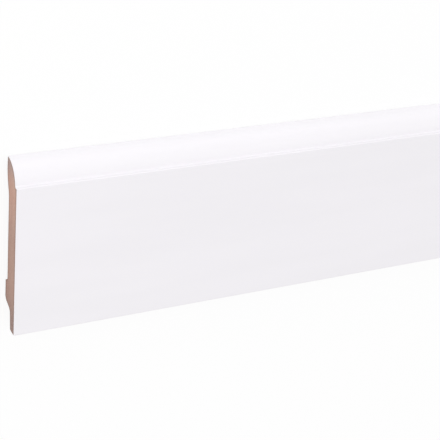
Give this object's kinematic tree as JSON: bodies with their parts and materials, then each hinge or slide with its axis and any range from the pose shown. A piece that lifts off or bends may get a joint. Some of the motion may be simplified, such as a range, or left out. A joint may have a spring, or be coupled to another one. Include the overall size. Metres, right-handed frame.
{
  "type": "skirting board length",
  "caption": "Straight length of skirting board: flat face, narrow ledge and quarter-round top edge, hollowed back and a heel with a rebate behind the foot.",
  "frame": {"origin": "middle of the space under the board as it lies on its back, on the wall plane", "axes": "+X along the board, +Y from the floor edge to the moulded top edge, +Z from the wall plane out to the front face"},
  "size_m": [2.4, 0.1, 0.015],
  "materials": {
    "white_wrapped_fibreboard": "satin white film on the face, top and foot",
    "bare_fibreboard": "bare, sawn and milled, matt"
  },
  "bodies": {
    "root": {"skirting_board": "white_wrapped_fibreboard"}
  },
  "joints": []
}
